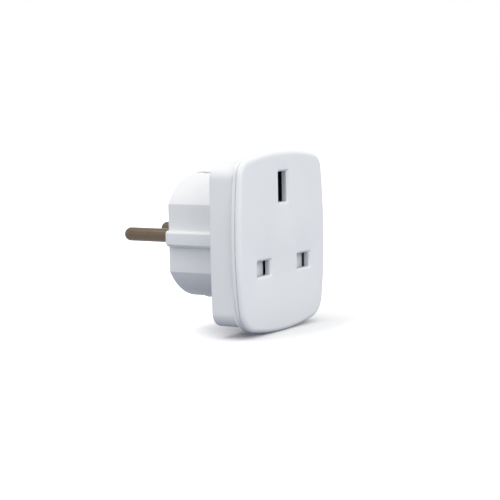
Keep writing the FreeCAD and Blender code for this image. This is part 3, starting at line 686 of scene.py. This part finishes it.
class ADAPTER_OT_rear_housing(bpy.types.Operator):
    """Make the rear housing: the rim, the square body, the round plug body with its flats, ribs and windows"""
    bl_idname = "adapter.rear_housing"
    bl_label = "Rear housing"

    def execute(self, context):
        s = context.scene.adapter_sizes
        parts = self.square_body(s) + self.plug_body(s)
        parts += [part for side in (-1, 1) for part in self.side_rib(s, side)]
        joined("housing_shell", parts, materials["white_housing"], "white_housing", "adapter", "rear_housing")
        return {"FINISHED"}

    def square_body(self, s):
        """Rim, sides, shoulder and screw bosses. A wall is its outline carried in by insets at depths."""
        plate, mid = plate_line(), mid_line()
        inner_shoulder = s.mid_depth - s.mid_wall
        edge_in, edge_depth = quarter_turn(s.rim_edge_r, 4)
        root_in, root_depth = quarter_turn(s.rim_root_r, 4)
        turn_in, turn_depth = quarter_turn(s.mid_edge_r, 10)
        rim_in = s.seam_step + np.concatenate([[s.seam_deep, s.seam_half / 4, 0], edge_in[::-1]])
        rim_depth = np.concatenate([s.plate_depth + s.seam_half * np.array([0, 1, 1.5]),
                                    s.flange_depth - edge_depth[::-1]])
        side_in = np.concatenate([-root_in, turn_in[::-1], [s.mid_edge_r + s.land]])
        side_depth = np.concatenate([s.flange_depth + root_depth, s.mid_depth - turn_depth[::-1], [s.mid_depth]])
        parts = [grid_part(carried(plate, rim_in, rim_depth)),
                 grid_part(ruled(plate[0] - rim_in[-1] * plate[1], mid[0] - side_in[0] * mid[1], s.flange_depth)),
                 grid_part(carried(mid, side_in, side_depth)),
                 grid_part(carried(mid, [s.mid_wall, s.mid_wall], [inner_shoulder, s.plate_depth])),
                 grid_part(ruled(plate[0] - rim_in[0] * plate[1], mid[0] - s.mid_wall * mid[1], s.plate_depth))]
        seat = s.mid_depth - s.screw_sunk
        screws = [(x, z) for x in (-s.screw_x, s.screw_x) for z in (s.screw_top, s.screw_bottom)]
        for x, z in screws:
            parts.append(turned_part(x, z, [(s.counterbore_r, s.mid_depth), (s.counterbore_r, seat),
                                            (s.screw_bore_r, seat), (s.screw_bore_r, s.boss_depth),
                                            (s.boss_r, s.boss_depth), (s.boss_r, inner_shoulder)]))
        for plug, inset, hole_r, depth in ((self.outer_plug(s), side_in[-1], s.counterbore_r, s.mid_depth),
                                           (self.inner_plug(s), s.mid_wall, s.boss_r, inner_shoulder)):
            parts.append(pierced_part(mid[0] - inset * mid[1],
                                      [self.notched(s, plug)] + [ring_line(x, z, hole_r) for x, z in screws],
                                      depth))
        return parts

    def outer_plug(self, s):
        """Outline of the plug body's outside."""
        return plug_line(s.plug_r, s.plug_flat, s.plug_corner_r)

    def inner_plug(self, s):
        """Outline of the plug body's inside."""
        return plug_line(s.plug_r - s.plug_wall, s.plug_flat - s.flat_wall, s.plug_corner_r)

    def roof(self, s, sign):
        """Points across a window's roof under the shoulder, from its right side to its left."""
        crossing = np.linspace(s.window_half, -s.window_half, ROOF_POINTS)
        return np.stack([crossing, np.full(ROOF_POINTS, sign * s.window_reach)], 1)

    def notched(self, s, points):
        """The plug's outline with the windows' sides and roofs in place of its top and bottom.

        A window's side has a point at sqrt(plug_r^2 - window_half^2), where it meets the plug body's outside.
        """
        halves, meeting = [], math.sqrt(s.plug_r ** 2 - s.window_half ** 2)
        for sign in (1, -1):
            half = points[points[:, 1] * sign >= 0]
            right = half[half[:, 0] >= s.window_half - CLOSE]
            left = half[half[:, 0] <= CLOSE - s.window_half]
            halves.append(np.concatenate([right[np.argsort(right[:, 1] * sign)],
                                          [(s.window_half, sign * meeting)], self.roof(s, sign),
                                          [(-s.window_half, sign * meeting)],
                                          left[np.argsort(-left[:, 1] * sign)]]))
        line = np.concatenate([halves[0], halves[1][::-1][1:-1]])
        return line[np.linalg.norm(line - np.roll(line, 1, 0), axis=1) > SAME_SPOT]

    def plug_body(self, s):
        """Plug body: its outline carried in by insets at depths, less the cells over the two windows."""
        inner_shoulder, inner_end = s.mid_depth - s.mid_wall, s.body_depth - s.end_wall
        turn_in, turn_depth = quarter_turn(s.plug_edge_r, 10)
        insets = np.concatenate([[0, 0], turn_in[::-1], [s.plug_edge_r + s.land]])
        depths = np.concatenate([[s.mid_depth, s.window_end], s.body_depth - turn_depth[::-1], [s.body_depth]])
        # A corner's rounding never quite ends, so that every row has as many points
        least_r = 0.00002
        rows = [plug_line(s.plug_r - i, s.plug_flat - i, max(s.plug_corner_r - i, least_r)) for i in insets]
        inner, inner_depths = self.inner_plug(s), np.array([inner_shoulder, s.mid_depth, s.window_end, inner_end])
        parts = []
        for grid in (place(np.stack(rows, 1), depths[None]),
                     place(np.repeat(inner[:, None], len(inner_depths), 1), inner_depths[None])):
            points, cells = grid_part(grid)
            over = abs(points[cells, 0]).max(1) < s.window_half + CLOSE
            early = points[cells, 1].max(1) < s.window_end - s.body_depth + CLOSE
            parts.append((points, cells[~(over & early)]))
        parts += self.window_walls(s)
        holes = [(side * s.pin_x, 0, s.collar_r + s.collar_gap, 0) for side in (-1, 1)]
        holes.append((0, -s.earth_hole_drop, s.earth_hole_r, s.earth_hole_bevel))
        for x, z, radius, bevel in holes:
            parts.append(turned_part(x, z, [(radius + bevel, s.body_depth), (radius, s.body_depth - bevel - HAIR),
                                            (radius, inner_end)]))
        parts.append(pierced_part(rows[-1], [ring_line(x, z, r + bevel) for x, z, r, bevel in holes],
                                  s.body_depth))
        parts.append(pierced_part(inner, [ring_line(x, z, r) for x, z, r, _ in holes], inner_end))
        return parts

    def window_walls(self, s):
        """Walls of the two windows: their sides, their far ends and the roofs under the shoulder."""
        inner_shoulder, parts = s.mid_depth - s.mid_wall, []
        for sign in (1, -1):
            arcs = []
            for line in (self.outer_plug(s), self.inner_plug(s)):
                near = line[(abs(line[:, 0]) < s.window_half + CLOSE) & (line[:, 1] * sign > 0)]
                arcs.append(near[np.argsort(near[:, 0])])
            walls = [ruled(*arcs, s.window_end), drawn(self.roof(s, sign), inner_shoulder, s.mid_depth)]
            for end in (0, -1):
                top, low = arcs[0][end], arcs[1][end]
                walls.append(drawn(np.stack([low, top, (top[0], sign * s.window_reach)]), inner_shoulder,
                                   s.mid_depth))
                walls.append(drawn(np.stack([low, top]), s.mid_depth, s.window_end))
            parts += [grid_part(wall, closed=False) for wall in walls]
        return parts

    def side_rib(self, s, side):
        """Bevelled rib on a flat, rooted in the flat's wall and in the shoulder's.

        Over the nose its height shrinks as cos t and its width by a part of that, while the depth grows as sin t.
        """
        root, half, last_turn, narrowing = s.plug_flat - s.flat_wall / 2, s.rib_half, math.radians(56), 0.65
        height = s.rib_proud + s.flat_wall / 2
        section = rounded([(0, -half), (height - s.rib_bevel, -half), (height, -half + s.rib_bevel),
                           (height, half - s.rib_bevel), (height - s.rib_bevel, half), (0, half)], s.rib_soft)
        t = np.linspace(0, last_turn, 10)
        depths = np.concatenate([[s.mid_depth - s.mid_wall / 2],
                                 s.body_depth - s.rib_nose * (1 - np.sin(t) / math.sin(last_turn))])
        shrink = np.concatenate([[1.0], np.cos(t)])
        grid = np.stack([section[:, :1] * shrink, section[:, 1:] * (1 - narrowing * (1 - shrink))], -1)
        grid[..., 0] = side * (grid[..., 0] + root)
        return [grid_part(place(grid, depths[None])), pierced_part(grid[:, 0], [], depths[0]),
                pierced_part(grid[:, -1], [], depths[-1])]


class ADAPTER_OT_round_pins(bpy.types.Operator):
    """Make the two round pins: hemispherical tips, plain shafts, collars in the end wall and riveted heads"""
    bl_idname = "adapter.round_pins"
    bl_label = "Round pins"

    def execute(self, context):
        s = context.scene.adapter_sizes
        inner_end, tip, soft = s.body_depth - s.end_wall, s.body_depth + pin_high.y, s.pin_soft
        head_front = inner_end - s.pin_head
        link_front = head_front - s.link_thick
        peen_front = link_front - s.peen
        profile = [(0, peen_front), (s.peen_r * 0.6, peen_front), (s.peen_r, link_front - s.peen * 0.5),
                   (s.peen_r, link_front), (s.pin_shank_r, link_front), (s.pin_shank_r, head_front),
                   (s.pin_head_r - soft, head_front), (s.pin_head_r, head_front + soft),
                   (s.pin_head_r, inner_end - soft), (s.pin_head_r - soft, inner_end),
                   (s.collar_r, inner_end), (s.collar_r, s.body_depth - soft),
                   (s.collar_r - soft, s.body_depth), (s.pin_r + soft, s.body_depth),
                   (s.pin_r, s.body_depth + soft)]
        # The tip is a quarter circle from the shaft to the pin's own line
        nose = arc((0, tip - s.pin_r), s.pin_r, 0, math.pi / 2, 12)[0]
        nose[-1] = (0, tip)
        profile = np.concatenate([profile, nose])
        for name, side in (("neutral", -1), ("live", 1)):
            joined(f"{name}_pin_turned", [turned_part(side * s.pin_x, 0, profile)], materials["plated_brass"],
                   "plated_brass", "adapter", f"{name}_pin")
        return {"FINISHED"}


class ADAPTER_OT_earth_strap(bpy.types.Operator):
    """Make the earth strap: two arched legs in the windows, a bend at each and a flat base with its holes"""
    bl_idname = "adapter.earth_strap"
    bl_label = "Earth strap"

    def execute(self, context):
        s = context.scene.adapter_sizes
        parts = [part for sign in (1, -1) for part in self.leg(s, sign)] + self.base(s)
        joined("strap_bent", parts, materials["earth_metal"], "earth_metal", "adapter", "earth_strap")
        return {"FINISHED"}

    def leg(self, s, sign):
        """A band whose section follows a leg and its bend, and is arched by r - sqrt(r^2 - x^2) along the leg."""
        half, thick, reach = s.strap_half, s.strap_thick, s.strap_reach
        section = finer(rounded([(-half, -thick), (half, -thick), (half, 0), (-half, 0)], s.strap_edge_r, 3), 5)
        # The path of the leg's outer face, as depth and reach, and the direction away from it
        bend_depth = s.body_depth - s.end_wall - s.strap_bend_r
        bend, out = arc((bend_depth, reach - s.strap_bend_r), s.strap_bend_r, math.pi / 2, 0, 16)
        straight = np.linspace(s.strap_front, bend_depth, 24)
        path = np.concatenate([np.stack([straight, np.full_like(straight, reach)], 1), bend[1:]])
        normal = np.concatenate([np.tile([0.0, 1.0], (len(straight), 1)), out[1:]])
        arched = np.clip((bend_depth - path[:, 0]) / s.strap_fade, 0, 1)
        arched = arched ** 2 * (3 - 2 * arched)
        radius = reach + section[:, 1]
        sunk = (radius - np.sqrt(radius ** 2 - section[:, 0] ** 2))[:, None] * arched[None]
        spots = path[None] + (section[:, 1:] - sunk)[..., None] * normal[None]
        x = np.broadcast_to(section[:, :1], spots.shape[:2])
        grid = np.stack([x, spots[..., 0] - s.body_depth, sign * spots[..., 1]], -1)
        return [grid_part(grid), end_cap(grid[:, 0]), end_cap(grid[:, -1])]

    def base(self, s):
        """Flat bar with a round lobe about the earth sleeve, and a hole for the sleeve and for the rivet."""
        inner_end, half, end = s.body_depth - s.end_wall, s.strap_half, s.strap_reach - s.strap_bend_r
        turn = math.acos(half / s.lobe_r)
        right, left = (arc((0, -s.earth_hole_drop), s.lobe_r, middle - turn, middle + turn, 16)[0]
                       for middle in (0, math.pi))
        outline = np.concatenate([[(half, -end)], right, [(half, end), (-half, end)], left, [(-half, -end)]])
        holes = [ring_line(0, -s.earth_hole_drop, s.sleeve_hole_r), ring_line(0, s.rivet_z, s.rivet_hole_r, 32)]
        depths = (inner_end - s.strap_base, inner_end)
        walls = [grid_part(drawn(line, *depths)) for line in (outline, *holes)]
        return walls + [pierced_part(outline, holes, depth) for depth in depths]


class ADAPTER_OT_screws(bpy.types.Operator):
    """Make the four screws: a head with a rounded edge and a tapered cross recess, on a pointed shank"""
    bl_idname = "adapter.screws"
    bl_label = "Screws"

    def execute(self, context):
        s = context.scene.adapter_sizes
        seat, tip = s.mid_depth - s.screw_sunk, s.screw_tip
        top = seat + s.screw_head
        floor = top - s.cross_depth
        turn_in, turn_depth = quarter_turn(s.screw_head_edge_r, 8)
        profile = np.concatenate([
            [(0, tip), (s.screw_shank_r - s.screw_point, tip), (s.screw_shank_r, tip + s.screw_point),
             (s.screw_shank_r, seat), (s.screw_head_r - s.screw_under, seat),
             (s.screw_head_r, seat + s.screw_under)],
            np.stack([s.screw_head_r - turn_in, top - turn_depth], 1)[::-1]])
        for row, z in (("upper", s.screw_top), ("lower", s.screw_bottom)):
            for side, x in (("left", -s.screw_x), ("right", s.screw_x)):
                mouth = self.cross(x, z, s.cross_reach, s.cross_half)
                foot = self.cross(x, z, s.cross_foot_reach, s.cross_foot_half)
                parts = [turned_part(x, z, profile), pierced_part(ring_line(x, z, profile[-1, 0]), [mouth], top),
                         pierced_part(foot, [], floor),
                         grid_part(place(np.stack([mouth, foot], 1), np.array([[top, floor]])))]
                joined(f"screw_{row}_{side}_turned", parts, materials["zinc_steel"], "zinc_steel", "adapter",
                       f"screw_{row}_{side}")
        return {"FINISHED"}

    def cross(self, x, z, reach, half):
        """Outline of a cross: one arm's end, turned by quarters."""
        arm = np.array([(reach, -half), (reach, half), (half, half)])
        turns = [arm, arm[:, ::-1] * (-1, 1), -arm, arm[:, ::-1] * (1, -1)]
        return np.concatenate(turns) + (x, z)


class ADAPTER_OT_spring(bpy.types.Operator):
    """Make the shutter spring: round wire wound into open turns, with a close turn at each end"""
    bl_idname = "adapter.spring"
    bl_label = "Shutter spring"

    def execute(self, context):
        # Middle line: coil radius times (cos t, sin t), and a rise that is slow over the turn at each end. The
        # wire's section is a circle in the outward direction and in the one square to it and to the line.
        s = context.scene.adapter_sizes
        low, high = spring_low.z + s.spring_wire_r, spring_high.z - s.spring_wire_r
        middle = (spring_low.y + spring_high.y) / 2
        turns, close = 5.6, 0.8
        at_turn = np.linspace(0, turns, 240)
        rise = np.interp(at_turn, [0, close, turns - close, turns],
                         [low, low + s.spring_lift, high - s.spring_lift, high])
        t = at_turn * 2 * math.pi
        out = np.stack([np.cos(t), np.sin(t), np.zeros_like(t)], 1)
        line = s.spring_coil_r * out + np.stack([np.zeros_like(t), np.full_like(t, middle), rise], 1)
        along = np.gradient(line, axis=0)
        across = np.cross(along / np.linalg.norm(along, axis=1)[:, None], out)
        ring = ring_line(0, 0, s.spring_wire_r, 12)
        grid = line[None] + ring[:, :1, None] * out[None] + ring[:, 1:, None] * across[None]
        spring = joined("spring_wound", [grid_part(grid), end_cap(grid[:, 0]), end_cap(grid[:, -1])],
                        materials["spring_steel"], "spring_steel", "adapter", "shutter_spring")
        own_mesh(spring)
        return {"FINISHED"}


class ADAPTER_OT_stage(bpy.types.Operator):
    """Make the floor, the soft lights and the camera at the photograph's angle"""
    bl_idname = "adapter.stage"
    bl_label = "Stage"

    def execute(self, context):
        scene = context.scene
        scene.view_settings.view_transform = "Standard"
        self.make_floor(context)
        self.make_world(scene)
        self.make_lights(scene)
        self.make_camera(scene)
        return {"FINISHED"}

    def make_floor(self, context):
        """A round sheet just below the adapter: radius times (cos, sin), from the middle out."""
        radii, below = np.array([0.0005, 0.05, 0.12, 0.3, 0.8, 2.5]), 0.00002
        across = ring_line(0, 0, 1.0, 96)[:, None] * radii[None, :, None]
        points = np.concatenate([across, np.full(across.shape[:2] + (1,), cad_low.z - below)], -1)
        vertices, faces = grid_part(points)
        mesh = bpy.data.meshes.new("floor")
        mesh.from_pydata(vertices.tolist(), [], faces.tolist() + [list(range(0, len(vertices), len(radii)))])
        floor = bpy.data.objects.new("floor", mesh)
        context.scene.collection.objects.link(floor)
        material = bpy.data.materials.new("Pale floor")
        material.use_nodes = True
        tree = material.node_tree
        tree.nodes.clear()
        path = add(tree, "ShaderNodeLightPath")
        # The floor that the camera sees is paler than the light that it throws up at the adapter
        pale = add(tree, "ShaderNodeBsdfDiffuse", Color=context.scene.adapter_colours.floor)
        dim = add(tree, "ShaderNodeBsdfDiffuse", Color=context.scene.adapter_colours.floor_bounce)
        seen = maths(tree, "MAXIMUM", path.outputs["Is Camera Ray"], path.outputs["Is Glossy Ray"])
        cloth = add(tree, "ShaderNodeMixShader", Fac=path.outputs["Is Camera Ray"], _1=dim.outputs[0],
                    _2=pale.outputs[0])
        where = add(tree, "ShaderNodeTexCoord").outputs["Object"]
        # The floor glows white past a distance from the line where the front plate touches it
        near = add(tree, "ShaderNodeMapping", Vector=where, Location=(-0.004, 0.028, 0.027), Scale=(0.35, 1.0, 1.0))
        away = add(tree, "ShaderNodeVectorMath", {"operation": "LENGTH"}, _0=near.outputs[0]).outputs["Value"]
        glowing = add(tree, "ShaderNodeMapRange", {"interpolation_type": "SMOOTHSTEP"}, Value=away,
                      From_Min=0.008, From_Max=0.034, To_Min=0.0, To_Max=0.5)
        glow = add(tree, "ShaderNodeEmission", Strength=maths(tree, "MULTIPLY", seen, glowing.outputs[0]))
        both = add(tree, "ShaderNodeAddShader", _0=cloth.outputs[0], _1=glow.outputs[0])
        add(tree, "ShaderNodeOutputMaterial", Surface=both.outputs[0])
        mesh.materials.append(material)

    def make_world(self, scene):
        """One even white all round, which lights the adapter and stands behind it."""
        world = bpy.data.worlds.new("Studio")
        world.use_nodes = True
        scene.world = world
        world.node_tree.nodes.clear()
        white = add(world.node_tree, "ShaderNodeBackground", Color=(1, 1, 1, 1), Strength=1.0)
        add(world.node_tree, "ShaderNodeOutputWorld", Surface=white.outputs[0])

    def make_lights(self, scene):
        """Two round soft lamps, turned towards the middle of the adapter: name, place, width, power."""
        aim = Vector((0, -0.015, 0))
        for name, spot, size, power in (("overhead", (-0.16, 0.14, 0.50), 0.40, 0.62),
                                        ("front_fill", (-0.24, -0.57, 0.22), 0.45, 1.26)):
            light = bpy.data.lights.new(name, "AREA")
            light.shape, light.size, light.energy = "DISK", size, power
            lamp = bpy.data.objects.new(name, light)
            lamp.location = spot
            lamp.rotation_mode = "QUATERNION"
            lamp.rotation_quaternion = (aim - Vector(spot)).to_track_quat("-Z", "Y")
            scene.collection.objects.link(lamp)

    def make_camera(self, scene):
        """The camera that was fitted to the photograph: its three directions and its place."""
        data = bpy.data.cameras.new("camera")
        data.lens, data.sensor_width = 118.85, 36.0
        data.clip_start, data.clip_end = 0.05, 10.0
        camera = bpy.data.objects.new("camera", data)
        right, up, back = (Vector(v) for v in ((0.520765, -0.853492, -0.018861), (0.101020, 0.039670, 0.994093),
                                               (-0.847702, -0.519594, 0.106879)))
        matrix = Matrix((right, up, back)).transposed().to_4x4()
        matrix.translation = (-0.404051, -0.265618, 0.046593)
        camera.matrix_world = matrix
        scene.collection.objects.link(camera)
        scene.camera = camera


STEPS = (ADAPTER_OT_finishes, ADAPTER_OT_front_cover, ADAPTER_OT_rear_housing, ADAPTER_OT_round_pins,
         ADAPTER_OT_earth_strap, ADAPTER_OT_screws, ADAPTER_OT_spring, ADAPTER_OT_stage)


class ADAPTER_PT_panel(bpy.types.Panel):
    """The steps in their order, then every size and colour."""
    bl_label = "Travel plug adapter"
    bl_idname = "ADAPTER_PT_panel"
    bl_space_type = "VIEW_3D"
    bl_region_type = "UI"
    bl_category = "Adapter"

    def draw(self, context):
        for step in STEPS:
            self.layout.operator(step.bl_idname)
        for group in (context.scene.adapter_sizes, context.scene.adapter_colours):
            for name in group.__annotations__:
                self.layout.prop(group, name)


CLASSES = (AdapterSizes, AdapterColours, *STEPS, ADAPTER_PT_panel)


def register():
    for cls in CLASSES:
        bpy.utils.register_class(cls)
    bpy.types.Scene.adapter_sizes = bpy.props.PointerProperty(type=AdapterSizes)
    bpy.types.Scene.adapter_colours = bpy.props.PointerProperty(type=AdapterColours)


def unregister():
    del bpy.types.Scene.adapter_colours
    del bpy.types.Scene.adapter_sizes
    for cls in reversed(CLASSES):
        bpy.utils.unregister_class(cls)


def main():
    """Run every step in order."""
    register()
    for step in STEPS:
        group, name = step.bl_idname.split(".")
        getattr(getattr(bpy.ops, group), name)()


if __name__ == "__main__":
    main()
